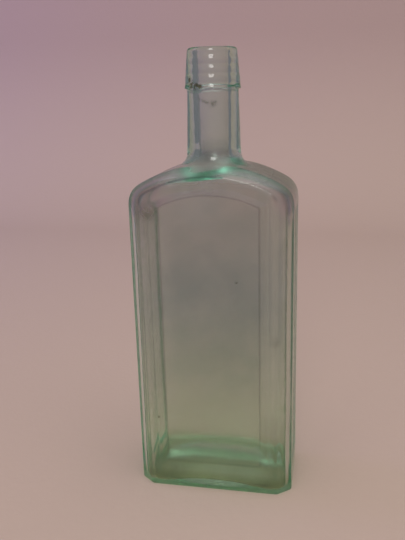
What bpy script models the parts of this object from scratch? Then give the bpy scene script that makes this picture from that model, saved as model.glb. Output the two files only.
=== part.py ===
"""Aqua glass medicine bottle of rectangular plan, with cut corners, arched shoulders and an applied lip.

The bottle is made the way the real one is: a mould-blown bottle with its neck, and a second piece of
glass laid round the top of the neck as the lip. The origin is the middle of the base, +Z is up, the
sunken front panel faces -Y, and every length is in metres.
"""

import math

import bmesh
import bpy
from mathutils import Matrix, Vector

# Overall sizes: the body, up to the crown of its shoulders, then the neck, then the lip
BODY_WIDTH = 0.0804
BODY_DEPTH = 0.0431
CROWN_HEIGHT = 0.1695
NECK_LENGTH = 0.0339
LIP_HEIGHT = 0.0186

# Arched shoulders: one wide arc over the body, and a corner arc at each end of it
SHOULDER_RADIUS = 0.0684
SHOULDER_CORNER_RADIUS = 0.0110

# Cut corners: how far the front and back faces stand in from the body's sides and shoulders
CORNER_CUT_WIDTH = 0.0070
CORNER_CUT_DEPTH = 0.0058
SHOULDER_CUT_HEIGHT = 0.0050
FACE_CORNER_RADIUS = 0.0050
ARRIS_RADIUS = 0.0010

# Neck, narrowing from its foot to the lip, and its end inside the lip, which narrows more
NECK_BASE_RADIUS = 0.0130
NECK_TOP_RADIUS = 0.0122
NECK_FLARE_RADIUS = 0.0080
NECK_END_TAPER = 0.0018
NECK_RIM_ROUND = 0.0006
NECK_ROOT_DEPTH = 0.0010

# Bore, through the lip and the neck
BORE_RADIUS = 0.0076
BORE_TAPER = 0.0004

# Lip: its foot stands out from the neck by the seat's gap and a thin wall, and it narrows upwards
LIP_ABOVE_NECK = 0.0095
LIP_SEAT_GAP = 0.0003
LIP_FOOT_WALL = 0.0010
LIP_TAPER = 0.0016
LIP_EDGE_ROUND = 0.0020
LIP_FOOT_ROUND = 0.0005
LIP_MOUTH_ROUND = 0.0007

# Sunken front panel: the plain border round it, its sloping wall and its depth
PANEL_BORDER_SIDE = 0.0047
PANEL_BORDER_TOP = 0.0056
PANEL_BORDER_BOTTOM = 0.0105
PANEL_SLOPE_SIDE = 0.0047
PANEL_SLOPE_TOP = 0.0037
PANEL_SLOPE_BOTTOM = 0.0045
PANEL_DEPTH = 0.0014
PANEL_CORNER_RADIUS = 0.0008

# Sunken side panels
SIDE_PANEL_BORDER = 0.0042
SIDE_PANEL_TOP_DROP = 0.0215
SIDE_PANEL_BOTTOM = 0.0105
SIDE_PANEL_SLOPE = 0.0026
SIDE_PANEL_DEPTH = 0.0011
SIDE_PANEL_CORNER_RADIUS = 0.0012

# Hollow inside the body: its walls, and the extra glass that fills its cut corners
WALL = 0.0033
SHOULDER_WALL = 0.0040
CORNER_FILL = 0.0010
HOLLOW_EDGE_RADIUS = 0.0020
HOLLOW_FLARE_RADIUS = 0.0060

# Pushed-up base: a shallow dome underneath, inside the heel band that the bottle stands on
HEEL_BAND_SIDE = 0.0062
HEEL_BAND_FACE = 0.0056
PUSH_UP_RISE = 0.0042

# Floor inside: thin at the corners, and domed up past the front and back walls
FLOOR_THICKNESS = 0.0018
FLOOR_DOME_RISE = 0.0066
FLOOR_DOME_OVERREACH = 0.0040

# Overrun of a cutter past the surface that it leaves
OVERRUN = 0.0020

# Share of a dome's ellipsoid, by height, that lies sunk below the dome's foot
DOME_SUNK_SHARE = 0.5

# Segments
SIDE_ARC_STEPS = 7
CROWN_ARC_STEPS = 20
ROUND_STEPS = 4
FLARE_STEPS = 7
TURN_STEPS = 48
ARRIS_STEPS = 2
DOME_TURN_STEPS = 40
DOME_RISE_STEPS = 32

# Angles past which an edge is rounded as an arris, or drawn sharp
ARRIS_LEAST_ANGLE = math.radians(25)
SHARP_LEAST_ANGLE = math.radians(24)

# Distance within which a turned shape's points on the axis and at its seam are joined
MERGE_DISTANCE = 1e-6

# Glass
BOTTLE_COLOUR = (0.62, 0.80, 0.74, 1.0)
BOTTLE_ROUGHNESS = 0.08
LIP_COLOUR = (0.60, 0.79, 0.75, 1.0)
LIP_ROUGHNESS = 0.06
GLASS_IOR = 1.52
GLASS_TRANSMISSION = 0.9

# Sizes and heights that follow from the ones above
HALF_WIDTH = BODY_WIDTH / 2
HALF_DEPTH = BODY_DEPTH / 2
CROWN_CENTRE = CROWN_HEIGHT - SHOULDER_RADIUS
LIP_FOOT_HEIGHT = CROWN_HEIGHT + NECK_LENGTH
TOTAL_HEIGHT = LIP_FOOT_HEIGHT + LIP_HEIGHT
NECK_TOP_HEIGHT = TOTAL_HEIGHT - LIP_ABOVE_NECK
NECK_RIM_RADIUS = NECK_TOP_RADIUS - NECK_END_TAPER
LIP_FOOT_RADIUS = NECK_TOP_RADIUS + LIP_SEAT_GAP + LIP_FOOT_WALL
LIP_TOP_RADIUS = LIP_FOOT_RADIUS - LIP_TAPER


def clear_scene():
    """Remove whatever the file opened with."""
    for existing in list(bpy.data.objects):
        bpy.data.objects.remove(existing, do_unlink=True)


def new_collection(name):
    """Make a collection and link it to the scene."""
    collection = bpy.data.collections.new(name)
    bpy.context.scene.collection.children.link(collection)
    return collection


def glass_material(name, colour, roughness):
    """Principled glass with a colour of its own."""
    material = bpy.data.materials.new(name)
    material.use_nodes = True
    shader = material.node_tree.nodes["Principled BSDF"]
    shader.inputs["Base Color"].default_value = colour
    shader.inputs["Roughness"].default_value = roughness
    shader.inputs["Metallic"].default_value = 0.0
    shader.inputs["IOR"].default_value = GLASS_IOR
    shader.inputs["Transmission Weight"].default_value = GLASS_TRANSMISSION
    return material


def add_object(name, mesh, collection):
    """Place a mesh in the scene as a named object."""
    placed = bpy.data.objects.new(name, mesh)
    collection.objects.link(placed)
    return placed


def mark_cutter(cutter):
    """Keep a cutter out of the render and draw it as wire."""
    cutter.hide_render = True
    cutter.display_type = "WIRE"
    return cutter


def arc(centre, radius, start, end, steps):
    """Points on an arc from one angle to another, both ends included."""
    points = []
    for step in range(steps + 1):
        angle = start + (end - start) * step / steps
        points.append((centre[0] + radius * math.cos(angle), centre[1] + radius * math.sin(angle)))
    return points


def arched_outline(half_width, bottom, crown_radius, corner_radius):
    """Closed outline in X and Z with upright sides and an arched top that shares the crown's centre."""
    lean = math.asin((half_width - corner_radius) / (crown_radius - corner_radius))
    corner_z = CROWN_CENTRE + (crown_radius - corner_radius) * math.cos(lean)
    corner = (half_width - corner_radius, corner_z)
    right = [(half_width, bottom)]
    right += arc(corner, corner_radius, 0, math.pi / 2 - lean, SIDE_ARC_STEPS)
    crown = arc((0, CROWN_CENTRE), crown_radius, math.pi / 2 - lean, math.pi / 2 + lean, CROWN_ARC_STEPS)
    left = [(-x, z) for x, z in reversed(right)]
    return right + crown[1:-1] + left


def rounded_rectangle(half_width, bottom, top, corner_radius):
    """Closed upright rectangle with rounded corners, as points across and up."""
    inner = half_width - corner_radius
    corners = [(inner, top - corner_radius), (-inner, top - corner_radius)]
    corners += [(-inner, bottom + corner_radius), (inner, bottom + corner_radius)]
    outline = []
    for quarter, corner in enumerate(corners):
        start = quarter * math.pi / 2
        outline += arc(corner, corner_radius, start, start + math.pi / 2, ROUND_STEPS)
    return outline


def loft(name, sections, collection):
    """Closed body through sections of equal point count, capped at both ends."""
    build = bmesh.new()
    rings = [[build.verts.new(point) for point in section] for section in sections]
    count = len(rings[0])
    for first, second in zip(rings, rings[1:]):
        for index in range(count):
            following = (index + 1) % count
            build.faces.new((first[index], first[following], second[following], second[index]))
    build.faces.new(rings[0])
    build.faces.new(rings[-1])
    bmesh.ops.recalc_face_normals(build, faces=build.faces)
    mesh = bpy.data.meshes.new(name)
    build.to_mesh(mesh)
    build.free()
    return add_object(name, mesh, collection)


def at_depth(outline, depth):
    """Stand an outline of X and Z up in the plane of one Y."""
    return [Vector((x, depth, z)) for x, z in outline]


def round_arrises(target, radius):
    """Round the sharp edges of a lofted body."""
    build = bmesh.new()
    build.from_mesh(target.data)
    sharp = [edge for edge in build.edges if edge.calc_face_angle(0) > ARRIS_LEAST_ANGLE]
    bmesh.ops.bevel(
        build,
        geom=sharp,
        offset=radius,
        offset_type="OFFSET",
        affect="EDGES",
        segments=ARRIS_STEPS,
        profile=0.5,
        material=-1,
        clamp_overlap=True,
    )
    build.to_mesh(target.data)
    build.free()


def cut_corner_body(name, side_outline, face_outline, half_depth, cut_depth, edge_radius, collection):
    """Body with two flat faces whose corners and shoulders are cut back to the sides."""
    inner_depth = half_depth - cut_depth
    sections = [
        at_depth(face_outline, -half_depth),
        at_depth(side_outline, -inner_depth),
        at_depth(side_outline, inner_depth),
        at_depth(face_outline, half_depth),
    ]
    body = loft(name, sections, collection)
    round_arrises(body, edge_radius)
    return body


def turned(name, profile, collection, closed=False):
    """Turn a profile of radius and height, listed down its outer side, round Z; a ring's is closed."""
    count = len(profile)
    edges = [(index, index + 1) for index in range(count - 1)]
    if closed:
        edges.append((count - 1, 0))
    mesh = bpy.data.meshes.new(name)
    mesh.from_pydata([(radius, 0, height) for radius, height in profile], edges, [])
    piece = add_object(name, mesh, collection)
    screw = piece.modifiers.new("turn", "SCREW")
    screw.axis = "Z"
    screw.angle = math.tau
    screw.steps = TURN_STEPS
    screw.render_steps = TURN_STEPS
    screw.use_merge_vertices = True
    screw.merge_threshold = MERGE_DISTANCE
    screw.use_smooth_shade = True
    return piece


def boolean(target, tool, operation):
    """Join a tool to a body, or cut the body with it."""
    modifier = target.modifiers.new(operation.lower() + "_" + tool.name, "BOOLEAN")
    modifier.operation = operation
    modifier.solver = "EXACT"
    modifier.object = tool
    return modifier


def flare_arc(pipe_radius, flare_radius, crown_radius):
    """Fillet from an upright pipe out to the crown, listed from the pipe down to the crown."""
    centre_x = pipe_radius + flare_radius
    reach = crown_radius + flare_radius
    centre_z = CROWN_CENTRE + math.sqrt(reach * reach - centre_x * centre_x)
    touch = math.atan2(CROWN_CENTRE - centre_z, -centre_x) % math.tau
    return arc((centre_x, centre_z), flare_radius, math.pi, touch, FLARE_STEPS)


def neck_end(gap):
    """Outside of the neck's end, from its rim down to the lip's foot, grown by a gap."""
    rim_centre = (NECK_RIM_RADIUS - NECK_RIM_ROUND, NECK_TOP_HEIGHT - NECK_RIM_ROUND)
    rim = arc(rim_centre, NECK_RIM_ROUND, math.pi / 2, 0, ROUND_STEPS)
    grown = [(radius + gap, height + gap) for radius, height in rim]
    return grown + [(NECK_TOP_RADIUS + gap, LIP_FOOT_HEIGHT)]


def neck_stock(collection):
    """Solid neck with the flare that runs into the shoulders."""
    flare = flare_arc(NECK_BASE_RADIUS, NECK_FLARE_RADIUS, SHOULDER_RADIUS)
    foot_radius, foot_height = flare[-1]
    root = foot_height - NECK_ROOT_DEPTH
    profile = [(0, NECK_TOP_HEIGHT)] + neck_end(0) + flare + [(foot_radius, root), (0, root)]
    return mark_cutter(turned("neck_stock", profile, collection))


def neck_bore(collection):
    """Bore through the neck, opening out under the shoulders."""
    crown = SHOULDER_RADIUS - SHOULDER_WALL
    flare = flare_arc(BORE_RADIUS - BORE_TAPER, HOLLOW_FLARE_RADIUS, crown)
    foot_radius, foot_height = flare[-1]
    below = foot_height - OVERRUN
    top = NECK_TOP_HEIGHT + OVERRUN
    profile = [(0, top), (BORE_RADIUS, top)] + flare + [(foot_radius, below), (0, below)]
    return mark_cutter(turned("neck_bore", profile, collection))


def dome(name, half_width, half_depth, rise, foot_height, collection):
    """Shallow dome of elliptical plan, as an ellipsoid sunk by a share of its height."""
    semi_height = rise / (1 - DOME_SUNK_SHARE)
    spread = math.sqrt(1 - DOME_SUNK_SHARE * DOME_SUNK_SHARE)
    size = Matrix.Diagonal((half_width / spread, half_depth / spread, semi_height, 1))
    place = Matrix.Translation((0, 0, foot_height + rise - semi_height))
    build = bmesh.new()
    bmesh.ops.create_uvsphere(
        build, u_segments=DOME_TURN_STEPS, v_segments=DOME_RISE_STEPS, radius=1, matrix=place @ size
    )
    mesh = bpy.data.meshes.new(name)
    build.to_mesh(mesh)
    build.free()
    return mark_cutter(add_object(name, mesh, collection))


def hollow(collection):
    """Space inside the body: cut corners like the outside's, and a floor that follows the push-up."""
    half_width = HALF_WIDTH - WALL
    crown = SHOULDER_RADIUS - SHOULDER_WALL
    sides = arched_outline(half_width, FLOOR_THICKNESS, crown, SHOULDER_CORNER_RADIUS - WALL)
    face_width = half_width - CORNER_CUT_WIDTH - CORNER_FILL
    face_crown = crown - SHOULDER_CUT_HEIGHT - CORNER_FILL
    faces = arched_outline(face_width, FLOOR_THICKNESS, face_crown, FACE_CORNER_RADIUS)
    half_depth = HALF_DEPTH - WALL
    cut_depth = CORNER_CUT_DEPTH + CORNER_FILL
    space = cut_corner_body("hollow", sides, faces, half_depth, cut_depth, HOLLOW_EDGE_RADIUS, collection)
    reach = half_depth + FLOOR_DOME_OVERREACH
    floor = dome("floor_dome", half_width, reach, FLOOR_DOME_RISE, FLOOR_THICKNESS, collection)
    boolean(space, floor, "DIFFERENCE")
    return mark_cutter(space)


def push_up(collection):
    """Dome pressed into the underside of the base, inside the heel band that the bottle stands on."""
    half_width = HALF_WIDTH - HEEL_BAND_SIDE
    half_depth = HALF_DEPTH - HEEL_BAND_FACE
    return dome("push_up", half_width, half_depth, PUSH_UP_RISE, 0, collection)


def front_panel(collection):
    """Cutter for the arched sunken panel of the front face."""
    edge_width = HALF_WIDTH - CORNER_CUT_WIDTH - PANEL_BORDER_SIDE
    edge_crown = SHOULDER_RADIUS - SHOULDER_CUT_HEIGHT - PANEL_BORDER_TOP
    edge = arched_outline(edge_width, PANEL_BORDER_BOTTOM, edge_crown, PANEL_CORNER_RADIUS)
    floor_width = edge_width - PANEL_SLOPE_SIDE
    floor_crown = edge_crown - PANEL_SLOPE_TOP
    floor_bottom = PANEL_BORDER_BOTTOM + PANEL_SLOPE_BOTTOM
    floor = arched_outline(floor_width, floor_bottom, floor_crown, PANEL_CORNER_RADIUS)
    sections = [
        at_depth(edge, -HALF_DEPTH - OVERRUN),
        at_depth(edge, -HALF_DEPTH),
        at_depth(floor, -HALF_DEPTH + PANEL_DEPTH),
    ]
    return mark_cutter(loft("front_panel", sections, collection))


def side_panel(name, side, collection):
    """Cutter for the sunken panel of one side; side is 1 on the right and -1 on the left."""
    half_edge = HALF_DEPTH - CORNER_CUT_DEPTH - SIDE_PANEL_BORDER
    top = CROWN_HEIGHT - SIDE_PANEL_TOP_DROP
    edge = rounded_rectangle(half_edge, SIDE_PANEL_BOTTOM, top, SIDE_PANEL_CORNER_RADIUS)
    floor = rounded_rectangle(
        half_edge - SIDE_PANEL_SLOPE,
        SIDE_PANEL_BOTTOM + SIDE_PANEL_SLOPE,
        top - SIDE_PANEL_SLOPE,
        SIDE_PANEL_CORNER_RADIUS,
    )
    places = [
        (edge, HALF_WIDTH + OVERRUN),
        (edge, HALF_WIDTH),
        (floor, HALF_WIDTH - SIDE_PANEL_DEPTH),
    ]
    sections = [[Vector((side * x, y, z)) for y, z in outline] for outline, x in places]
    return mark_cutter(loft(name, sections, collection))


def shade_rounds_smooth(piece):
    """Shade the round stretches smooth and keep the arrises crisp."""
    piece.data.shade_smooth()
    piece.data.set_sharp_from_angle(angle=SHARP_LEAST_ANGLE)


def make_bottle(parts, cutters):
    """Mould-blown body, shoulders and neck in one solid."""
    sides = arched_outline(HALF_WIDTH, 0, SHOULDER_RADIUS, SHOULDER_CORNER_RADIUS)
    face_width = HALF_WIDTH - CORNER_CUT_WIDTH
    face_crown = SHOULDER_RADIUS - SHOULDER_CUT_HEIGHT
    faces = arched_outline(face_width, 0, face_crown, FACE_CORNER_RADIUS)
    bottle = cut_corner_body(
        "blown_bottle", sides, faces, HALF_DEPTH, CORNER_CUT_DEPTH, ARRIS_RADIUS, parts
    )
    bottle.data.materials.append(glass_material("aqua_bottle_glass", BOTTLE_COLOUR, BOTTLE_ROUGHNESS))
    shade_rounds_smooth(bottle)
    boolean(bottle, neck_stock(cutters), "UNION")
    boolean(bottle, front_panel(cutters), "DIFFERENCE")
    boolean(bottle, side_panel("right_panel", 1, cutters), "DIFFERENCE")
    boolean(bottle, side_panel("left_panel", -1, cutters), "DIFFERENCE")
    boolean(bottle, hollow(cutters), "DIFFERENCE")
    boolean(bottle, neck_bore(cutters), "DIFFERENCE")
    boolean(bottle, push_up(cutters), "DIFFERENCE")
    return bottle


def make_lip(parts):
    """Tapered lip over the neck's end: a turned ring with a socket, a bore and a flat land on top."""
    top_edge = (LIP_TOP_RADIUS - LIP_EDGE_ROUND, TOTAL_HEIGHT - LIP_EDGE_ROUND)
    foot_edge = (LIP_FOOT_RADIUS - LIP_FOOT_ROUND, LIP_FOOT_HEIGHT + LIP_FOOT_ROUND)
    mouth_edge = (BORE_RADIUS + LIP_MOUTH_ROUND, TOTAL_HEIGHT - LIP_MOUTH_ROUND)
    profile = arc(top_edge, LIP_EDGE_ROUND, math.pi / 2, 0, ROUND_STEPS)
    profile += arc(foot_edge, LIP_FOOT_ROUND, 0, -math.pi / 2, ROUND_STEPS)
    profile += reversed(neck_end(LIP_SEAT_GAP))
    profile.append((BORE_RADIUS, NECK_TOP_HEIGHT + LIP_SEAT_GAP))
    profile += arc(mouth_edge, LIP_MOUTH_ROUND, math.pi, math.pi / 2, ROUND_STEPS)
    lip = turned("applied_lip", profile, parts, closed=True)
    lip.data.materials.append(glass_material("aqua_lip_glass", LIP_COLOUR, LIP_ROUGHNESS))
    return lip


def main():
    clear_scene()
    parts = new_collection("medicine_bottle")
    cutters = new_collection("cutters")
    make_bottle(parts, cutters)
    make_lip(parts)


main()
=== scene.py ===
# %% [markdown]
# # Looks of an aqua glass medicine bottle
# The measured model comes in first as a fixed frame. It gives the sizes, and nothing in it is moved.
# Everything after it makes the glass that the render shows: one closed skin, with an outer side and
# an inner side that meet at the mouth, because light bends at both sides of a real glass wall.

# %% Load the frame
import math

import bmesh
import bpy
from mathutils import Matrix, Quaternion, Vector, noise


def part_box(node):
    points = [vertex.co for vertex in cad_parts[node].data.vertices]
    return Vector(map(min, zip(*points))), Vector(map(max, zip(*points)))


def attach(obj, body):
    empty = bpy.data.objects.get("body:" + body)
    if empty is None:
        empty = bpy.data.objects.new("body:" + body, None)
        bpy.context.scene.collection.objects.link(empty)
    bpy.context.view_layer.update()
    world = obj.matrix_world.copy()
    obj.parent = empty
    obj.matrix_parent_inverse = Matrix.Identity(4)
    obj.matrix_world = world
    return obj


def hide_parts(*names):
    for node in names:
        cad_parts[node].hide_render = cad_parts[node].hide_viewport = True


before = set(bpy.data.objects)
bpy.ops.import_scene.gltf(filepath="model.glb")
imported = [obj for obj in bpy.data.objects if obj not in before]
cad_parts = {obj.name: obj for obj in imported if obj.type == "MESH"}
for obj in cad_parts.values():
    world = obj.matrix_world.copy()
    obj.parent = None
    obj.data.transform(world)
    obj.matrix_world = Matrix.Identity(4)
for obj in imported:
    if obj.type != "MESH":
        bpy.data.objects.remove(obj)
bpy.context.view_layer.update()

print("frame holds", sorted(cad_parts))

# %% [markdown]
# ## Sizes
# The overall sizes are read from the two nodes of the frame. The ones inside those boxes are written
# here once: metres throughout, with a millimetre as a unit to write them in.

# %% Read the overall sizes
MM = 0.001
bottle_low, bottle_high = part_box("blown_bottle")
lip_low, lip_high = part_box("applied_lip")
half_width = (bottle_high.x - bottle_low.x) / 2
half_depth = (bottle_high.y - bottle_low.y) / 2
lip_foot_radius = (lip_high.x - lip_low.x) / 2
lip_foot = lip_low.z
lip_top = lip_high.z
print("body", round(half_width * 2 / MM, 1), "by", round(half_depth * 2 / MM, 1), "mm")
print("lip from", round(lip_foot / MM, 1), "to", round(lip_top / MM, 1), "mm")

# %% [markdown]
# ## The arched outline
# A mould cutter draws this bottle with a compass: upright sides, a small arc at each shoulder, and one
# wide arc over the top with its centre on the middle line. Every section of the body's outside is that
# same figure with other radii, and the hollow's roof follows it too. Each outline has the same number
# of points, placed alike, so that one can be joined to the next without a twist. The rows up the sides
# are heights on an outline whose shoulders start at 150.5 mm, and stretch a little on the others.

# %% Draw an arched outline
CROWN_CENTRE = 101.1 * MM
SHOULDER_START = 150.5 * MM
BOTTOM_SHARES = (0.0, 0.22, 0.44, 0.64, 0.82, 0.95)
HEEL_ROWS = (1.9, 5.2, 8.8, 10.5, 13.1, 15.0)
WALL_FIRST_ROW = 27.0
WALL_ROW_GAP = 14.8
WALL_ROW_COUNT = 8
WALL_ROWS = tuple(WALL_FIRST_ROW + WALL_ROW_GAP * step for step in range(WALL_ROW_COUNT))
TOP_ROWS = (143.0, 145.4, 148.0)
SIDE_ROWS = tuple(row * MM for row in HEEL_ROWS + WALL_ROWS + TOP_ROWS)
ARC_STEPS = 4
CROWN_STEPS = 6


def shoulder(width, crown, corner):
    """Angle that the crown's arc ends at, and the height of the centre of the corner's arc."""
    lean = math.asin((width - corner) / (crown - corner))
    return lean, CROWN_CENTRE + (crown - corner) * math.cos(lean)


def arched(width, bottom, crown, corner):
    """Closed outline in X and Z, from the bottom's middle round by +X."""
    lean, corner_z = shoulder(width, crown, corner)
    right = [(width * share, bottom) for share in BOTTOM_SHARES] + [(width, bottom)]
    rise = (corner_z - bottom) / SHOULDER_START
    right += [(width, bottom + row * rise) for row in SIDE_ROWS]
    for step in range(ARC_STEPS + 1):
        angle = (math.pi / 2 - lean) * step / ARC_STEPS
        right.append((width - corner + corner * math.cos(angle), corner_z + corner * math.sin(angle)))
    for step in range(1, CROWN_STEPS + 1):
        angle = lean * (1 - step / CROWN_STEPS)
        right.append((crown * math.sin(angle), CROWN_CENTRE + crown * math.cos(angle)))
    return right + [(-x, z) for x, z in reversed(right[1:-1])]


# A figure is its half width, its bottom, its crown's radius and its corners' radius.
SIDE_CROWN = 68.4 * MM
SIDE_FIGURE = (half_width, 0.0, SIDE_CROWN, 11.0 * MM)
TOP_INDEX = len(arched(*SIDE_FIGURE)) // 2
print("an outline has", 2 * TOP_INDEX, "points, and the crown's top is number", TOP_INDEX)

# %% [markdown]
# ## The outside of the body
# The body is a stack of arched outlines from the front face to the back face. Near an arris two
# outlines lie close together: Subdivision Surface then rounds the edge by about a millimetre, as fire
# and wear leave it. On the front, five more outlines make the sunken panel: two on its floor and three
# on the plain border round it. Where the corners are cut, rings lie a share of the way from the face's
# outline to the side's.

# %% Sections from front to back
PANEL_DEPTH = 1.4 * MM
PANEL_FIGURES = (
    (23.0 * MM, 15.9 * MM, 53.3 * MM, 1.1 * MM),
    (24.0 * MM, 14.8 * MM, 54.3 * MM, 1.2 * MM),
)
BORDER_FIGURES = (
    (28.6 * MM, 10.4 * MM, 57.9 * MM, 1.5 * MM),
    (29.6 * MM, 9.4 * MM, 59.0 * MM, 2.1 * MM),
    (32.0 * MM, 1.9 * MM, 62.2 * MM, 3.8 * MM),
)
FACE_FIGURE = (33.2 * MM, 0.0, 63.4 * MM, 5.0 * MM)
BACK_FIGURES = (
    BORDER_FIGURES[-1],
    (30.2 * MM, 4.0 * MM, 60.4 * MM, 2.6 * MM),
)
CUT_DEPTH = 5.8 * MM
CUT_START = half_depth - CUT_DEPTH
CUT_SHARES = (0.14, 0.5, 0.86)
STRIP_PLACES = (15.75 * MM, 14.4 * MM, 11.9 * MM, 9.1 * MM, 4.6 * MM)


def stand(figure, depth):
    """The outline of a figure at one depth."""
    return [Vector((x, depth, z)) for x, z in arched(*figure)]


def between(first, second, share):
    """Places a share of the way from one ring's to another's."""
    return [a.lerp(b, share) for a, b in zip(first, second)]


def body_sections():
    """All rings of the body's outside, from the panel's floor to the back face."""
    face = stand(FACE_FIGURE, -half_depth)
    side = stand(SIDE_FIGURE, -CUT_START)
    front = [face] + [between(face, side, share) for share in CUT_SHARES]
    front += [stand(SIDE_FIGURE, -place) for place in STRIP_PLACES]
    rings = [stand(figure, PANEL_DEPTH - half_depth) for figure in PANEL_FIGURES]
    rings += [stand(figure, -half_depth) for figure in BORDER_FIGURES]
    rings += front + [stand(SIDE_FIGURE, 0.0)]
    rings += [[Vector((p.x, -p.y, p.z)) for p in ring] for ring in reversed(front)]
    return rings + [stand(figure, half_depth) for figure in BACK_FIGURES]


sections = body_sections()
FACE_RING = len(PANEL_FIGURES) + len(BORDER_FIGURES)
BACK_RING = len(sections) - 1 - len(BACK_FIGURES)
FRONT_CUT = FACE_RING + 1 + len(CUT_SHARES) // 2
BACK_CUT = BACK_RING - 1 - len(CUT_SHARES) // 2
MIDDLE = (FRONT_CUT + BACK_CUT) // 2
print(len(sections), "sections; cut middles", FRONT_CUT, BACK_CUT, "middle", MIDDLE)

# %% [markdown]
# ## Side panels and pushed-up base
# The narrow sides are sunken too, by a millimetre: rows and columns of the sections already lie along
# that panel's edges, so its floor is only moved inwards. The base is pressed up in a shallow dome, and
# the bottle stands on the band round it.

# %% Press in the side panels and the base
SIDE_PANEL_DEPTH = 1.1 * MM
SIDE_PANEL_LOW = 13.0 * MM
SIDE_PANEL_HIGH = 145.5 * MM
SIDE_PANEL_REACH = 9.2 * MM
SIDE_WALL_SLACK = 1.0 * MM
PUSH_UP_WIDTH = 34.0 * MM
PUSH_UP_DEPTH = 15.95 * MM
PUSH_UP_RISE = 4.2 * MM
DOME_SHARE = 0.75


def dome(x, y, width, depth, rise):
    """Height of a shallow dome of elliptical plan: the rise in the middle, nothing at its foot."""
    out = min((x / width) ** 2 + (y / depth) ** 2, 1.0)
    return rise * (2 * math.sqrt(1 - DOME_SHARE * out) - 1)


def press(place):
    """Move a place of the body's outside into the side panel or the push-up."""
    on_side = abs(place.x) > half_width - SIDE_WALL_SLACK and abs(place.y) < SIDE_PANEL_REACH
    if on_side and SIDE_PANEL_LOW <= place.z <= SIDE_PANEL_HIGH:
        place.x -= math.copysign(SIDE_PANEL_DEPTH, place.x)
    if place.z == 0.0:
        place.z = dome(place.x, place.y, PUSH_UP_WIDTH, PUSH_UP_DEPTH, PUSH_UP_RISE)


for section in sections:
    for place in section:
        press(place)
print("push-up is", round(sections[MIDDLE][0].z / MM, 2), "mm high")

# %% [markdown]
# ## Growing a skin ring by ring
# Extruding an edge loop and moving the copy is how a bottle is drawn by hand in edit mode. The helper
# keeps the ring's order, so that each new ring is a plain list of places. Five layers will mark places
# for the finish, and one holds creases. They are made before the first vertex, because a layer made
# later would void the rings gathered so far.

# %% Grow the body's outside
def start_ring(shape, places):
    """A closed ring of vertices and edges."""
    ring = [shape.verts.new(place) for place in places]
    for first, second in zip(ring, ring[1:] + ring[:1]):
        shape.edges.new((first, second))
    return ring


def ring_edges(shape, ring):
    """The edges between neighbours of a closed ring."""
    return [shape.edges.get((first, second)) for first, second in zip(ring, ring[1:] + ring[:1])]


def grow(shape, ring, places):
    """Extrude a ring and move the new one to its places."""
    made = bmesh.ops.extrude_edge_only(shape, edges=ring_edges(shape, ring))["geom"]
    fresh = {part for part in made if isinstance(part, bmesh.types.BMVert)}
    grown = []
    for vertex, place in zip(ring, places):
        for edge in vertex.link_edges:
            other = edge.other_vert(vertex)
            if other in fresh:
                other.co = place
                grown.append(other)
                break
    return grown


bottle = bmesh.new()
inside = bottle.verts.layers.float.new("inside")
edge_line = bottle.verts.layers.float.new("edge_line")
underside = bottle.verts.layers.float.new("underside")
arris = bottle.verts.layers.float.new("arris")
weathered = bottle.verts.layers.float.new("weathered")
crease = bottle.edges.layers.float.new("crease_edge")
rings = [start_ring(bottle, sections[0])]
for section in sections[1:]:
    rings.append(grow(bottle, rings[-1], section))
print("body has", len(rings), "rings and", len(bottle.faces), "cage faces")

# %% [markdown]
# ## Closing the panel's floor and the back
# The first and the last ring are holes. Grid fill lays rows of faces between two stretches of a ring
# that face each other, here the bottom and the crown, and so gives even faces on both flats.

# %% Close the two flats
def fill_ring(shape, ring, first, count):
    """Fill a ring with a grid between two stretches of it that face each other."""
    size = len(ring)
    half = size // 2
    near = [ring[(first + step) % size] for step in range(count + 1)]
    far = [ring[(first + half + step) % size] for step in range(count + 1)]
    rails = []
    for stretch in (near, far):
        rails += [shape.edges.get(pair) for pair in zip(stretch, stretch[1:])]
    return bmesh.ops.grid_fill(shape, edges=rails, mat_nr=0, use_smooth=True)["faces"]


fill_start = len(sections[0]) - len(BOTTOM_SHARES)
for ring in (rings[0], rings[-1]):
    filled = fill_ring(bottle, ring, fill_start, 2 * len(BOTTOM_SHARES))
    print("a flat takes", len(filled), "faces")

# %% [markdown]
# ## Marks for the finish
# Dirt, wear and two lines of painted shade follow the form, so the form says where they lie: a number on
# each vertex, which fades to the next one's across a face, and which the material reads by its name. The
# edge mark is 1 at the foot of the panel's slope, where a dark line of painted shade is drawn in the
# concave corner, and -1 along the top, which hands have dulled. Both edges are creased a little to stay
# crisp. The arris mark, for a dark line of painted shade, is on the front arris from the left shoulder to
# just past the middle, the weathered mark on all between the front face and the back, and the underside
# mark on the push-up. A ring that is extruded later copies the marks of the one it grows from.

# %% Mark the edges, the arris, the shoulders and the base
PANEL_CREASE = 0.6
PANEL_FOOT_RING = len(PANEL_FIGURES) - 1
PANEL_EDGE_RING = len(PANEL_FIGURES)
# Where the arris line of painted shade ends, just past the middle.
ARRIS_SHADE_END = 6.0 * MM
for ring, side in ((rings[PANEL_FOOT_RING], 1.0), (rings[PANEL_EDGE_RING], -1.0)):
    for vertex in ring:
        vertex[edge_line] = side
    for edge in ring_edges(bottle, ring):
        edge[crease] = PANEL_CREASE
for vertex in rings[FACE_RING]:
    if vertex.co.x < ARRIS_SHADE_END and vertex.co.z > SHOULDER_START:
        vertex[arris] = 1.0
for ring in rings[FACE_RING + 1:BACK_RING]:
    for vertex in ring:
        vertex[weathered] = 1.0
for vertex in bottle.verts:
    x, y, z = vertex.co
    if z <= PUSH_UP_RISE and abs(x) < PUSH_UP_WIDTH and abs(y) < PUSH_UP_DEPTH:
        vertex[underside] = 1.0
print("weathered:", sum(vertex[weathered] > 0 for vertex in bottle.verts), "vertices")
print("arris:", sum(vertex[arris] > 0 for vertex in bottle.verts), "vertices")

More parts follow.
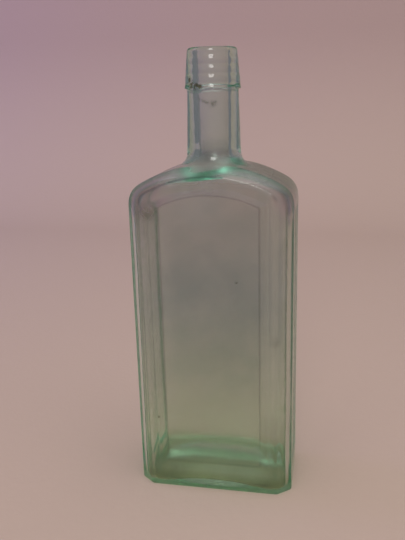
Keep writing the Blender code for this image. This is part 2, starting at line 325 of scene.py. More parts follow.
# %% [markdown]
# ## Opening the crown for the neck
# A round neck joins a square-cut body. Deleting a block of faces on the crown leaves a loop of edges,
# and new rings grown from that loop slide from the block's outline to the neck's circle. Their height
# comes from the surface itself: the higher of the crown and the hollow curve at the neck's foot.

# %% Cut the block and find its loop
BLOCK_STEPS = 3
right_column = TOP_INDEX - BLOCK_STEPS
left_column = TOP_INDEX + BLOCK_STEPS
block = set()
for ring in rings[FRONT_CUT:BACK_CUT + 1]:
    block.update(ring[right_column:left_column + 1])
covered = [face for face in bottle.faces if all(vertex in block for vertex in face.verts)]
loop = [rings[index][right_column] for index in range(MIDDLE, BACK_CUT + 1)]
loop += [rings[BACK_CUT][column] for column in range(right_column + 1, left_column + 1)]
loop += [rings[index][left_column] for index in range(BACK_CUT - 1, FRONT_CUT - 1, -1)]
loop += [rings[FRONT_CUT][column] for column in range(left_column - 1, right_column - 1, -1)]
loop += [rings[index][right_column] for index in range(FRONT_CUT + 1, MIDDLE)]
bmesh.ops.delete(bottle, geom=covered, context="FACES")
COLUMNS = len(loop)
print("the neck's loop has", COLUMNS, "vertices")

# %% Surface heights round the neck's foot
NECK_BASE = 13.1 * MM
FLARE = 8.0 * MM
BLEND = 1.2 * MM
FAR_BELOW = -1.0
foot_top = CROWN_CENTRE + math.sqrt((SIDE_CROWN + FLARE) ** 2 - (NECK_BASE + FLARE) ** 2)


def soft_max(first, second):
    """The higher of two heights, with the crease between them rounded."""
    near = max(BLEND - abs(first - second), 0.0) / BLEND
    return max(first, second) + near * near * BLEND / 4


def flare_height(radius):
    """Height of the hollow curve between neck and crown, or far below once it has ended."""
    out = NECK_BASE + FLARE - max(radius, NECK_BASE)
    if out < 0:
        return FAR_BELOW
    return foot_top - math.sqrt(max(FLARE * FLARE - out * out, 0.0))


def arch_height(x, width, crown, corner):
    """Height of an arched figure at one X."""
    lean, corner_z = shoulder(width, crown, corner)
    if abs(x) <= crown * math.sin(lean):
        return CROWN_CENTRE + math.sqrt(crown * crown - x * x)
    out = min(abs(x) - (width - corner), corner)
    return corner_z + math.sqrt(max(corner * corner - out * out, 0.0))


def outer_top(x, y):
    """Height of the body's outside with the neck's foot."""
    share = min(max((abs(y) - CUT_START) / CUT_DEPTH, 0.0), 1.0)
    width, _, crown, corner = [a + (b - a) * share for a, b in zip(SIDE_FIGURE, FACE_FIGURE)]
    return soft_max(arch_height(x, width, crown, corner), flare_height(math.hypot(x, y)))


print("the outside is", round(outer_top(0.0, CUT_START) / MM, 2), "mm high behind the front's cut corner")

# %% [markdown]
# ## The neck's foot
# The smoothing that comes later draws a ring of points inwards, to (2 + cos(turn)) / 3 of its radius,
# where turn is the angle from one point to the next. Each circle is drawn that much too wide, and ends
# up at its true radius.

# %% Grow the neck's foot
FOOT_SHARES = (0.2, 0.4, 0.57, 0.71, 0.82, 0.9, 0.96)
TURN = math.tau / COLUMNS
RING_GAIN = 3 / (2 + math.cos(TURN))


def circle(radius, height):
    """A level ring of places round the axis from +X on, widened by what the smoothing will draw in."""
    wide = radius * RING_GAIN
    return [Vector((wide * math.cos(TURN * n), wide * math.sin(TURN * n), height)) for n in range(COLUMNS)]


foot_circle = circle(NECK_BASE, foot_top)
loop_places = [vertex.co.copy() for vertex in loop]
ring = loop
for share in FOOT_SHARES:
    places = between(loop_places, foot_circle, share)
    for place in places:
        place.z = outer_top(place.x, place.y)
    ring = grow(bottle, ring, places)
ring = grow(bottle, ring, foot_circle)
print("neck's foot ends at", round(foot_top / MM, 1), "mm")

# %% [markdown]
# ## Neck and applied lip
# The lip is a second gather of hot glass, laid round the end of the neck and squeezed with a tool that
# turns. That leaves faint level ridges on it and an uneven lower edge. The glass is one mass, so the
# skin runs on from neck to lip, and only a tight fold shows where the lip was laid. Each sag of the
# edge has a direction and a reach in degrees, counted from +X, and a drop.

# %% Uneven work of the lip
SAGS = (
    (235.0, 13.0, 1.5 * MM),
    (256.0, 9.0, 0.55 * MM),
    (296.0, 13.0, 0.3 * MM),
    (22.0, 22.0, 0.35 * MM),
    (135.0, 20.0, 0.5 * MM),
)


def sag(n):
    """How far the lip's glass has run down at one column of the ring."""
    run = 0.0
    for middle, reach, depth in SAGS:
        off = (math.degrees(TURN * n) - middle + 180) % 360 - 180
        run += depth * math.exp(-((off / reach) ** 2))
    return run


print("the lip's foot sags by up to", round(max(sag(n) for n in range(COLUMNS)) / MM, 2), "mm")

# %% Grow the neck and the fold under the lip
NECK_TOP = 12.3 * MM
NECK_ROWS = (178.0, 183.0, 188.5, 194.0, 198.5, 200.9)
FOLD_RADII = (12.3, 12.5, 13.0, 13.4, 13.5)
FOLD_HEIGHTS = (-0.9, -0.2, 0.0, 0.12, 0.6)
SAG_FADE = 3.2 * MM


def sagged(places, rise):
    """A ring of the lip with its share of the sag, which fades above the foot."""
    fade = math.exp(-max(rise, 0.0) / SAG_FADE)
    return [Vector((p.x, p.y, p.z - sag(n) * fade)) for n, p in enumerate(places)]


for row in NECK_ROWS:
    share = (row * MM - foot_top) / (lip_foot - foot_top)
    ring = grow(bottle, ring, circle(NECK_BASE + (NECK_TOP - NECK_BASE) * share, row * MM))
for radius, height in zip(FOLD_RADII, FOLD_HEIGHTS):
    ring = grow(bottle, ring, sagged(circle(radius * MM, lip_foot + height * MM), height * MM))
print("neck narrows from", round(NECK_BASE / MM, 1), "to", round(NECK_TOP / MM, 1), "mm of radius")

# %% Grow the lip and its rounded top
LIP_FIRST_ROW = 1.7
LIP_ROW_GAP = 1.05
LIP_ROW_COUNT = 14
LIP_TAPER = 1.6 * MM
RIDGE_LENGTH = 4.2 * MM
RIDGE_HEIGHT = 0.09 * MM
RIDGE_START = 0.4 * MM
EDGE_RADII = (11.92, 11.78, 11.3, 10.5, 9.4, 8.5, 7.95, 7.68)
EDGE_DROPS = (1.9, 0.85, 0.22, 0.0, 0.0, 0.05, 0.35, 1.1)
for step in range(LIP_ROW_COUNT):
    rise = (LIP_FIRST_ROW + LIP_ROW_GAP * step) * MM
    ridge = RIDGE_HEIGHT * math.cos(math.tau * (rise - RIDGE_START) / RIDGE_LENGTH)
    radius = lip_foot_radius - LIP_TAPER * rise / (lip_top - lip_foot) + ridge - RIDGE_HEIGHT
    ring = grow(bottle, ring, sagged(circle(radius, lip_foot + rise), rise))
for radius, drop in zip(EDGE_RADII, EDGE_DROPS):
    ring = grow(bottle, ring, circle(radius * MM, lip_top - drop * MM))
print("outside has", len(bottle.faces), "cage faces")

# %% [markdown]
# ## The bore
# From the mouth the same ring goes on down the bore and out under the shoulders, with the inside mark
# on it, which every later ring copies. The roof of the hollow is the arched figure again. It falls and
# narrows towards the front and the back wall, slowly at first and then steeply, as a power does. At the
# bore's foot it turns up in a quarter round.

# %% Bore and the opening under the shoulders
BORE_TOP = 7.6 * MM
BORE_FOOT = 7.2 * MM
BORE_FLARE = 9.0 * MM
BORE_DROPS = (4.0, 9.0, 14.0, 19.0, 25.0, 31.0, 37.0, 42.0, 46.0)
FLARE_REACHES = (0.0, 0.02, 0.1, 0.24, 0.44, 0.7)
INNER_WIDTH = 38.4 * MM
INNER_DEPTH = 19.6 * MM
INNER_CROWN = 66.0 * MM
INNER_CORNER = 8.6 * MM
ROOF_POWER = 5.0
ROOF_FALL = 3.1 * MM
ROOF_NARROWING = 7.0 * MM


def inner_top(x, y):
    """Height of the hollow's roof with the bore's foot, a quarter round that rises to the bore."""
    out = (abs(y) / INNER_DEPTH) ** ROOF_POWER
    roof = arch_height(x, INNER_WIDTH - ROOF_NARROWING * out, INNER_CROWN - ROOF_FALL * out, INNER_CORNER)
    reach = min(max(math.hypot(x, y) - BORE_FOOT, 0.0), BORE_FLARE)
    return roof + BORE_FLARE - math.sqrt(BORE_FLARE ** 2 - (BORE_FLARE - reach) ** 2)


bore_end = inner_top(0.0, BORE_FOOT)
for drop in BORE_DROPS:
    share = drop * MM / (lip_top - bore_end)
    ring = grow(bottle, ring, circle(BORE_TOP + (BORE_FOOT - BORE_TOP) * share, lip_top - drop * MM))
    for vertex in ring:
        vertex[inside] = 1.0
for reach in FLARE_REACHES:
    places = circle(BORE_FOOT + BORE_FLARE * reach, 0.0)
    ring = grow(bottle, ring, [Vector((p.x, p.y, inner_top(p.x, p.y))) for p in places])
print("bore ends at", round(bore_end / MM, 1), "mm")

# %% [markdown]
# ## The hollow
# Air pressed the glass into the mould, and the air's side has no sharp edge anywhere: the hollow's plan
# has round corners, and its walls bow a little between them, as blown glass does. The plan has as many
# points as the neck's circle, so the ring only slides from the one to the other under the roof.

# %% Plan of the hollow
CORNER_ROUND = 8.0 * MM
CORNER_TURNS = (0.0, 30.0, 60.0, 90.0)
SIDE_BOW = 0.4 * MM
FACE_BOW = 0.4 * MM
SIDE_PLACES = (0.0, 4.6 * MM, 8.7 * MM)
FACE_PLACES = (24.5 * MM, 17.0 * MM, 8.5 * MM, 0.0)


def bowed(x, y):
    """A place of the plan, drawn in near the corners so that the walls bow between them."""
    side = SIDE_BOW * x / INNER_WIDTH * (y / INNER_DEPTH) ** 2
    face = FACE_BOW * y / INNER_DEPTH * (x / INNER_WIDTH) ** 2
    return x - side, y - face


def plan_of_hollow():
    """Ring of the hollow's plan from +X on, with as many places as the neck's circle."""
    first = [(INNER_WIDTH, y) for y in SIDE_PLACES]
    for turn in CORNER_TURNS:
        angle = math.radians(turn)
        out_x = CORNER_ROUND * math.cos(angle) - CORNER_ROUND
        out_y = CORNER_ROUND * math.sin(angle) - CORNER_ROUND
        first.append((INNER_WIDTH + out_x, INNER_DEPTH + out_y))
    first += [(x, INNER_DEPTH) for x in FACE_PLACES]
    first = [bowed(x, y) for x, y in first]
    half = first + [(-x, y) for x, y in reversed(first[:-1])]
    return half + [(x, -y) for x, y in reversed(half[1:-1])]


plan = plan_of_hollow()
print("plan has", len(plan), "places and the neck", COLUMNS)

# %% Roof of the hollow
ROOF_SHARES = (0.16, 0.34, 0.52, 0.68, 0.81, 0.91, 0.97)
WALL_TOP_DROP = 2.0 * MM
roof_circle = [vertex.co.copy() for vertex in ring]
wall_top = [Vector((x, y, inner_top(x, y))) for x, y in plan]
for share in ROOF_SHARES:
    places = between(roof_circle, wall_top, share)
    for place in places:
        place.z = inner_top(place.x, place.y)
    ring = grow(bottle, ring, places)
ring = grow(bottle, ring, [Vector((p.x, p.y, p.z - WALL_TOP_DROP)) for p in wall_top])
print("walls start", round(min(vertex.co.z for vertex in ring) / MM, 1), "mm above the table")

# %% Walls of the hollow
SIDE_PUSH = 0.9 * MM
SIDE_PUSH_REACH = 12.0 * MM
FACE_PUSH = 1.0 * MM
FACE_PUSH_REACH = 30.0 * MM
PUSH_POWER = 6
LEVELS = (144.0, 134.0, 122.0, 110.0, 98.0, 85.0, 72.0, 59.0, 46.0, 34.0, 24.0, 16.0)


def pushed(x, y):
    """A place of the plan, pushed in where a sunken panel lies outside it."""
    side = SIDE_PUSH * max(1 - (y / SIDE_PUSH_REACH) ** PUSH_POWER, 0.0)
    face = FACE_PUSH * max(1 - (x / FACE_PUSH_REACH) ** PUSH_POWER, 0.0)
    if abs(x) > INNER_WIDTH - CORNER_ROUND / 2:
        x -= math.copysign(side, x)
    if y < CORNER_ROUND / 2 - INNER_DEPTH:
        y += face
    return x, y


for level in LEVELS:
    ring = grow(bottle, ring, [Vector((*pushed(x, y), level * MM)) for x, y in plan])
print("walls end", round(LEVELS[-1], 1), "mm above the table")

# %% [markdown]
# ## The hollow's floor
# The floor rises over the push-up, and the glass is thickest where it meets the walls. Rings turn in
# round that heel and shrink towards the middle, and grid fill closes what is left.

# %% Heel and floor of the hollow
FLOOR_FOOT = 3.0 * MM
FLOOR_RISE = 5.3 * MM
FLOOR_WIDTH = 35.0 * MM
FLOOR_DEPTH = 27.0 * MM
FLOOR_TILT = 2.0 * MM
FLOOR_SHARES = (0.84, 0.7, 0.56, 0.42, 0.28)
HEEL_RADIUS = 2.0 * MM
HEEL_TURNS = (0.0, 30.0, 60.0)


def floor_height(x, y):
    """Height of the hollow's floor, which leans a little towards the front."""
    lean = FLOOR_TILT * y / INNER_DEPTH
    return FLOOR_FOOT + lean + dome(x, y, FLOOR_WIDTH, FLOOR_DEPTH, FLOOR_RISE)


for turn in HEEL_TURNS:
    inset = HEEL_RADIUS * (1 - math.cos(math.radians(turn)))
    lift = HEEL_RADIUS * (1 - math.sin(math.radians(turn)))
    places = [Vector((x - x * inset / INNER_WIDTH, y - y * inset / INNER_DEPTH, 0.0)) for x, y in plan]
    ring = grow(bottle, ring, [Vector((p.x, p.y, floor_height(p.x, p.y) + lift)) for p in places])
for share in FLOOR_SHARES:
    places = [Vector((x * share, y * share, 0.0)) for x, y in plan]
    ring = grow(bottle, ring, [Vector((p.x, p.y, floor_height(p.x, p.y))) for p in places])
fill_ring(bottle, ring, -COLUMNS // 8, COLUMNS // 4)
print("whole cage has", len(bottle.faces), "faces")

# %% [markdown]
# ## Hand-made unevenness
# A ruled surface looks like plastic. Blown glass wavers: the hollow's side by a quarter of a millimetre,
# because nothing touched it, and the mould's side by a tenth. Noise moves the cage's vertices along
# their normals, only towards the glass on the outside, so that the bottle stays within its measured
# size. The heel's band isn't touched, and the bottle stands flat. In front of the neck's foot a lump
# of glass hangs into the hollow, where the gather was thickest.

# %% Waver the skin
OUTER_WAVER = 0.1 * MM
INNER_WAVER = 0.26 * MM
BORE_WAVER = 0.16 * MM
WAVER_SIZE = 17.0 * MM
WAVER_STRETCH = 0.55
FINE_SHARE = 0.5
FINE_FACTOR = 2.3
FINE_SHIFT = Vector((7.1, 3.3, 5.9))
HEEL_BAND = 1.5 * MM
BORE_START = 172.0 * MM
LUMP_PLACE = Vector((-6.0, -16.5, 165.0)) * MM
LUMP_REACH = 10.0 * MM
LUMP_DEPTH = 3.7 * MM


def waver(place):
    """Noise of two sizes, mostly between -1 and 1, with waves that are longer upwards."""
    spot = Vector((place.x, place.y, place.z * WAVER_STRETCH)) / WAVER_SIZE
    return noise.noise(spot) + FINE_SHARE * noise.noise(spot * FINE_FACTOR + FINE_SHIFT)


bmesh.ops.recalc_face_normals(bottle, faces=bottle.faces)
bottle.normal_update()
moves = []
for vertex in bottle.verts:
    place = vertex.co
    wave = waver(place)
    if vertex[inside] > 0:
        reach = BORE_WAVER if place.z > BORE_START else INNER_WAVER
        lump = LUMP_DEPTH * math.exp(-(((place - LUMP_PLACE).length / LUMP_REACH) ** 2))
        moves.append(vertex.normal * (wave * reach + lump))
    else:
        reach = OUTER_WAVER if place.z > HEEL_BAND else 0.0
        moves.append(vertex.normal * (min(wave, 1.0) - 1.0) / 2 * reach)
for vertex, move in zip(bottle.verts, moves):
    vertex.co += move
print("skin is moved by up to", round(max(move.length for move in moves) / MM, 2), "mm")

# %% [markdown]
# ## One closed skin
# A skin without open edges has an inside, and only then does glass bend and tint light rightly. Two
# levels of Subdivision Surface round the cage. The object stays at the origin with its place in its
# mesh, rides on the one body of the model, and stands in for both measured solids.

# %% Finish the bottle's mesh
ML = 1e-6
SMOOTHING = 2
open_edges = [edge for edge in bottle.edges if not edge.is_manifold]
print("open edges:", len(open_edges), "volume:", round(bottle.calc_volume() / ML, 1), "ml of glass")
glass_mesh = bpy.data.meshes.new("glass_bottle")
bottle.to_mesh(glass_mesh)
bottle.free()
glass_mesh.shade_smooth()
glass_bottle = bpy.data.objects.new("glass_bottle", glass_mesh)
bpy.context.scene.collection.objects.link(glass_bottle)
smooth = glass_bottle.modifiers.new("smooth", "SUBSURF")
smooth.levels = SMOOTHING
smooth.render_levels = SMOOTHING
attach(glass_bottle, "root")
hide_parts("blown_bottle", "applied_lip")

# %% [markdown]
# ## A group for mottling
# Glass haze and paper both vary in soft patches. One node group draws such patches, and each material
# sets their size and range. It only puts out a value; the shader stays in the material. Two helpers
# come first, because every tree of nodes below needs them: one links or sets a socket, and one makes a
# Map Range node, which turns where a value lies between two limits into how strong something is.

# %% Build the mottle group
MOTTLE_VALUES = (
    ("Scale", 40.0),
    ("Detail", 3.0),
    ("From Low", 0.35),
    ("From High", 0.65),
    ("Low", 0.0),
    ("High", 1.0),
)


def feed(tree, source, socket):
    """Link an output to a socket, or set a plain value on it."""
    if isinstance(source, bpy.types.NodeSocket):
        tree.links.new(source, socket)
    else:
        socket.default_value = source


def fade(tree, value, start, end, low=0.0, high=1.0, soft=False):
    """A value that runs from low to high while another runs from start to end."""
    spread = tree.nodes.new("ShaderNodeMapRange")
    spread.interpolation_type = "SMOOTHSTEP" if soft else "LINEAR"
    limits = (("From Min", start), ("From Max", end), ("To Min", low), ("To Max", high))
    for name, source in (("Value", value), *limits):
        feed(tree, source, spread.inputs[name])
    return spread.outputs["Result"]


mottle = bpy.data.node_groups.new("mottle", "ShaderNodeTree")
mottle.interface.new_socket("Vector", in_out="INPUT", socket_type="NodeSocketVector")
for name, value in MOTTLE_VALUES:
    socket = mottle.interface.new_socket(name, in_out="INPUT", socket_type="NodeSocketFloat")
    socket.default_value = value
mottle.interface.new_socket("Value", in_out="OUTPUT", socket_type="NodeSocketFloat")
given = mottle.nodes.new("NodeGroupInput").outputs
noise_patches = mottle.nodes.new("ShaderNodeTexNoise")
for name in ("Vector", "Scale", "Detail"):
    mottle.links.new(given[name], noise_patches.inputs[name])
range_ends = [given[name] for name in ("From Low", "From High", "Low", "High")]
mottled = fade(mottle, noise_patches.outputs["Fac"], *range_ends, soft=True)
mottle.links.new(mottled, mottle.nodes.new("NodeGroupOutput").inputs["Value"])
print("mottle takes", [item.name for item in mottle.interface.items_tree if item.in_out == "INPUT"])

# %% [markdown]
# ## Aqua glass
# Old bottle glass is green-blue from iron in the sand. The colour isn't on the surface: it grows with
# the length of glass that the light crosses, so thin walls look almost clear and the base looks deep
# green. Volume Absorption does that inside the closed skin.

# %% Make the glass
GLASS_IOR = 1.52
ABSORB_COLOUR = (0.475, 0.875, 0.7375, 1.0)
ABSORB_DENSITY = 40.0
SAMPLE_LENGTH = 10.0 * MM
glass = bpy.data.materials.new("aqua_glass")
glass.use_nodes = True
glass_tree = glass.node_tree
shader = glass_tree.nodes["Principled BSDF"]
shader.inputs["IOR"].default_value = GLASS_IOR
shader.inputs["Transmission Weight"].default_value = 1.0
absorb = glass_tree.nodes.new("ShaderNodeVolumeAbsorption")
absorb.inputs["Color"].default_value = ABSORB_COLOUR
absorb.inputs["Density"].default_value = ABSORB_DENSITY
glass_tree.links.new(absorb.outputs["Volume"], glass_tree.nodes["Material Output"].inputs["Volume"])
glass_mesh.materials.append(glass)
kept = [math.exp((part - 1) * ABSORB_DENSITY * SAMPLE_LENGTH) for part in ABSORB_COLOUR[:3]]
print("10 mm of glass lets through", [round(part, 2) for part in kept], "of red, green and blue")

# %% [markdown]
# ## Where on the bottle
# The finish changes with the place: across, back and up are read from the object's own coordinates,
# which stay with the bottle when it is moved or turned. The marks made above are read by their names.

# %% Read places and marks
def maths(operation, *sources, clamp=False):
    """The result of a Math node in the glass."""
    node = glass_tree.nodes.new("ShaderNodeMath")
    node.operation = operation
    node.use_clamp = clamp
    for source, socket in zip(sources, node.inputs):
        feed(glass_tree, source, socket)
    return node.outputs["Value"]


def mark(name):
    """One of the skin's marks."""
    reader = glass_tree.nodes.new("ShaderNodeAttribute")
    reader.attribute_name = name
    return reader.outputs["Fac"]


coords = glass_tree.nodes.new("ShaderNodeTexCoord").outputs["Object"]
apart = glass_tree.nodes.new("ShaderNodeSeparateXYZ")
glass_tree.links.new(coords, apart.inputs["Vector"])
across, back, up = (apart.outputs[name] for name in "XYZ")
sideways = maths("ABSOLUTE", across)
height = maths("DIVIDE", up, lip_top)
print("heights are shares of", round(lip_top / MM, 1), "mm")

# %% [markdown]
# ## Haze inside, with painted shadow and caustic light
# Water that stood in the bottle has etched its inside: a grey film that dulls the walls and is nearly gone
# in the neck. Its tone by height also holds painted light. It is darkest a little below mid-height, which
# is painted shadow: the bottle's own shadow on the floor behind it, seen through the walls. It is lighter
# and yellower near the floor, which is painted light: the caustic that the bottle focuses on the floor
# behind it. Light crosses the inner skin twice on its way through, and the Principled shader tints it each
# time, so the film is a Base Color a little below white. A ramp on the height gives its tone. The outside
# has a
# ramp of its own: dull at the heel, clean on the body and faintly grey on the neck.

# %% Tones by height
# Painted shadow in the darker stops a little below mid-height, painted caustic light in the lighter low
# stops.
HAZE_SHADOW_AND_CAUSTIC_TONES = (
    (0.0, (0.92, 0.93, 0.82)),
    (0.12, (0.72, 0.84, 0.66)),
    (0.3, (0.46, 0.57, 0.50)),
    (0.45, (0.36, 0.46, 0.47)),
    (0.62, (0.47, 0.53, 0.53)),
    (0.74, (0.54, 0.57, 0.56)),
    (0.77, (0.50, 0.54, 0.54)),
    (0.82, (0.93, 0.90, 0.91)),
)
OUTER_TONES = (
    (0.0, (0.60, 0.66, 0.48)),
    (0.028, (0.66, 0.71, 0.54)),
    (0.048, (0.97, 0.98, 0.95)),
    (0.77, (0.97, 0.98, 0.96)),
    (0.80, (0.80, 0.82, 0.82)),
    (1.0, (0.86, 0.88, 0.88)),
)
FIRST_STOPS = 2


def tones_by_height(tones):
    """A colour ramp on the height. A new ramp already has its first two stops."""
    ramp = glass_tree.nodes.new("ShaderNodeValToRGB")
    ramp.color_ramp.interpolation = "EASE"
    stops = ramp.color_ramp.elements
    for index, (at, tone) in enumerate(tones):
        stop = stops[index] if index < FIRST_STOPS else stops.new(at)
        stop.position = at
        stop.color = (*tone, 1.0)
    glass_tree.links.new(height, ramp.inputs["Fac"])
    return ramp.outputs["Color"]


haze_shadow_and_caustic_colour = tones_by_height(HAZE_SHADOW_AND_CAUSTIC_TONES)
outer_colour = tones_by_height(OUTER_TONES)
print("the film has", len(HAZE_SHADOW_AND_CAUSTIC_TONES), "tones and the outside", len(OUTER_TONES))

# %% [markdown]
# ## How much film there is
# The film, with the painted shadow and caustic light in its tone, lies on the inner side only, which is
# what the inside mark is for. Mottling breaks it up, and it is thinner behind the plain borders beside the
# sunken panel.

# %% Share of the film
THIN_START = 25.0 * MM
THIN_END = 31.0 * MM
THIN_SHARE = 0.74


def add_mottle(tree, vector, **values):
    """Place the mottle group in a material, with its own values, and return its output."""
    placed = tree.nodes.new("ShaderNodeGroup")
    placed.node_tree = mottle
    tree.links.new(vector, placed.inputs["Vector"])
    for name, value in values.items():
        placed.inputs[name.replace("_", " ")].default_value = value
    return placed.outputs["Value"]


patchy = add_mottle(glass_tree, coords, Scale=85.0, Detail=4.0, Low=0.84, High=1.0)
thinner = fade(glass_tree, sideways, THIN_START, THIN_END, 1.0, THIN_SHARE)
film_and_painted_light_share = maths("MULTIPLY", mark("inside"), maths("MULTIPLY", patchy, thinner))
print("the film thins out from", round(THIN_START / MM), "to", round(THIN_END / MM), "mm off the middle")

# %% [markdown]
# ## Etched side walls
# Seen from the front, the narrow sides are looked along and not through, and spots of heavier etching
# there join up to a green band. They are mottling with a finer scale, kept to the side walls, and
# multiply the film's tone.

# %% Etch the side walls
ETCHED_TONE = (0.58, 0.76, 0.54, 1.0)
SIDE_WALL_START = 32.0 * MM
SIDE_WALL_END = 36.0 * MM


def mixed(tree, share, first, second, kind="MIX", data="RGBA"):
    """Two colours, or two values, mixed by a share."""
    mix = tree.nodes.new("ShaderNodeMix")
    mix.data_type = data
    mix.blend_type = kind
    for name, source in (("Factor", share), ("A", first), ("B", second)):
        feed(tree, source, mix.inputs[name])
    return mix.outputs["Result"]


side_wall = fade(glass_tree, sideways, SIDE_WALL_START, SIDE_WALL_END)
spots = add_mottle(glass_tree, coords, Scale=210.0, Detail=4.0, From_Low=0.46, From_High=0.6)
etched = maths("MULTIPLY", side_wall, spots)
haze_shadow_and_caustic_colour = mixed(glass_tree, etched, haze_shadow_and_caustic_colour, ETCHED_TONE, kind="MULTIPLY")
print("etching starts", round(SIDE_WALL_START / MM), "mm from the middle")

# %% [markdown]
# ## Weathered shoulders
# Buried glass weathers on its outside too: a thin bloom that is satin rather than clear, here on the
# shoulders. The weathered mark keeps it off the front face. Three fades bound it: it sets in over the
# top of the walls, ends at the neck's foot, and is faint in line with the neck, where the green shows.

# %% Where the bloom lies
BLOOM_FROM = (138.0 * MM, 152.0 * MM)
BLOOM_TO = (173.0 * MM, 167.5 * MM)
BESIDE_NECK = (4.0 * MM, 20.0 * MM)
BLOOM_AT_NECK = 0.15
bloom = mark("weathered")
bloom_limits = (
    fade(glass_tree, up, *BLOOM_FROM, soft=True),
    fade(glass_tree, up, *BLOOM_TO, soft=True),
    fade(glass_tree, sideways, *BESIDE_NECK, low=BLOOM_AT_NECK, soft=True),
)
for limit in bloom_limits:
    bloom = maths("MULTIPLY", bloom, limit)
print("bloom from", round(BLOOM_FROM[0] / MM, 1), "to", round(BLOOM_TO[0] / MM, 1), "mm")

# %% [markdown]
# Such a bloom has colours of its own: it is lilac on the left and at the corners. Over the right shoulder,
# from a little behind the front arris to the back, grey-green is painted in instead. This is painted
# light:
# the teal glow of light carried through the thick glass there.

# %% Tone of the bloom
BLOOM_LILAC = (1.0, 0.80, 0.88, 1.0)
# Painted light: this green stands in for the teal glow of light carried through the thick shoulder glass.
GLOW_GREEN = (0.42, 0.55, 0.46, 1.0)
GLOW_RIGHTWARDS = (0.0, 16.0 * MM)
GLOW_BACKWARDS = (-21.0 * MM, -13.0 * MM)
GLOW_UPWARDS = (151.0 * MM, 158.0 * MM)
painted_glow_here = fade(glass_tree, across, *GLOW_RIGHTWARDS)
painted_glow_here = maths("MULTIPLY", painted_glow_here, fade(glass_tree, back, *GLOW_BACKWARDS))
painted_glow_here = maths("MULTIPLY", painted_glow_here, fade(glass_tree, up, *GLOW_UPWARDS, soft=True))
bloom_and_glow_tone = mixed(glass_tree, painted_glow_here, BLOOM_LILAC, GLOW_GREEN)
outer_colour = mixed(glass_tree, bloom, outer_colour, bloom_and_glow_tone, kind="MULTIPLY")
print("the bloom turns green above", round(GLOW_UPWARDS[0] / MM, 1), "mm")

# %% [markdown]
# ## Dust, and the two sides joined
# The right side wall is dusty outside. With that, both sides have their colours, and the film's share
# chooses: nothing of the film and its painted shadow and caustic light outside, most of it inside.

# %% Dust the right side and join both sides
DUST_TONE = (0.74, 0.75, 0.72, 1.0)
DUST_START = 36.0 * MM
DUST_END = 39.0 * MM
dust = fade(glass_tree, across, DUST_START, DUST_END)
outer_colour = mixed(glass_tree, dust, outer_colour, DUST_TONE, kind="MULTIPLY")
skin_colour = mixed(glass_tree, film_and_painted_light_share, outer_colour, haze_shadow_and_caustic_colour)
print("dust lies on the right", round((half_width - DUST_START) / MM, 1), "mm of the body")

# %% [markdown]
# ## A group for one stain
# Residue sits in patches: a drip in the neck, crumbs in the heel's corners, and a dark crust under the lip
# that is also painted shade for the fold there. The group fades from a place outwards. It is placed once
# for each patch, with that patch's own values.

# %% Build the stain group
stain = bpy.data.node_groups.new("stain", "ShaderNodeTree")
for name, kind in (("Vector", "Vector"), ("Place", "Vector"), ("Reach", "Float"), ("Amount", "Float")):
    stain.interface.new_socket(name, in_out="INPUT", socket_type="NodeSocket" + kind)
stain.interface.new_socket("Value", in_out="OUTPUT", socket_type="NodeSocketFloat")
given = stain.nodes.new("NodeGroupInput").outputs
away = stain.nodes.new("ShaderNodeVectorMath")
away.operation = "DISTANCE"
stain.links.new(given["Vector"], away.inputs[0])
stain.links.new(given["Place"], away.inputs[1])
heavy = fade(stain, away.outputs["Value"], 0.0, given["Reach"], given["Amount"], 0.0, soft=True)
stain.links.new(heavy, stain.nodes.new("NodeGroupOutput").inputs["Value"])
print("stain takes", [item.name for item in stain.interface.items_tree if item.in_out == "INPUT"])

# %% [markdown]
# ## Where dirt has stayed
# A bottle that lay in the ground keeps brown residue where a brush can't reach: a drip that ran down
# the neck, the fold under the lip, the shoulders and the heel's corners. In the fold under the lip the
# patches are heavy and dark as painted shade, for the dark that the fold's crease throws. Each place is in
# millimetres, with how far the patch reaches and how heavy it is. Where patches overlap, the heavier one
# counts.

# %% Place the stains
NECK_STAINS = (
    ((-5.4, -5.2, 200.8), 1.4, 0.8),
    ((-4.9, -5.7, 199.7), 1.4, 0.8),
    ((-4.1, -6.2, 198.7), 1.4, 0.8),
    ((-3.1, -6.7, 197.9), 1.4, 0.8),
    ((-2.0, -7.1, 197.4), 1.4, 0.8),
    ((-0.8, -7.3, 197.0), 1.5, 0.8),
    ((0.9, -7.4, 196.5), 2.4, 1.0),
    ((2.2, -7.1, 197.3), 1.5, 0.8),
    ((-1.5, -7.4, 172.0), 5.0, 0.5),
)
# Residue and painted shade: these heavy patches darken the fold under the lip at the front left.
LIP_FOLD_STAINS_AND_SHADE = (
    ((-9.4, -9.9, 207.4), 2.2, 1.9),
    ((-8.4, -11.0, 205.2), 2.6, 2.7),
    ((-6.0, -12.5, 204.6), 2.6, 2.7),
    ((-3.8, -13.3, 204.4), 2.0, 2.2),
)
BODY_STAINS = (
    ((-29.5, -19.3, 147.0), 8.0, 0.45),
    ((-32.0, -17.0, 138.0), 8.0, 0.3),
    ((-31.0, -17.0, 14.0), 13.0, 0.3),
    ((-22.0, -18.0, 8.0), 11.0, 0.25),
    ((14.0, -17.0, 7.0), 17.0, 0.15),
    ((32.0, -19.0, 84.0), 4.5, 0.3),
    ((30.0, 14.0, 12.0), 18.0, 0.3),
    ((25.0, -19.0, 3.0), 14.0, 0.22),
    ((13.2, -20.1, 113.5), 0.9, 1.0),
    ((-28.2, -21.4, 40.0), 1.0, 1.2),
)


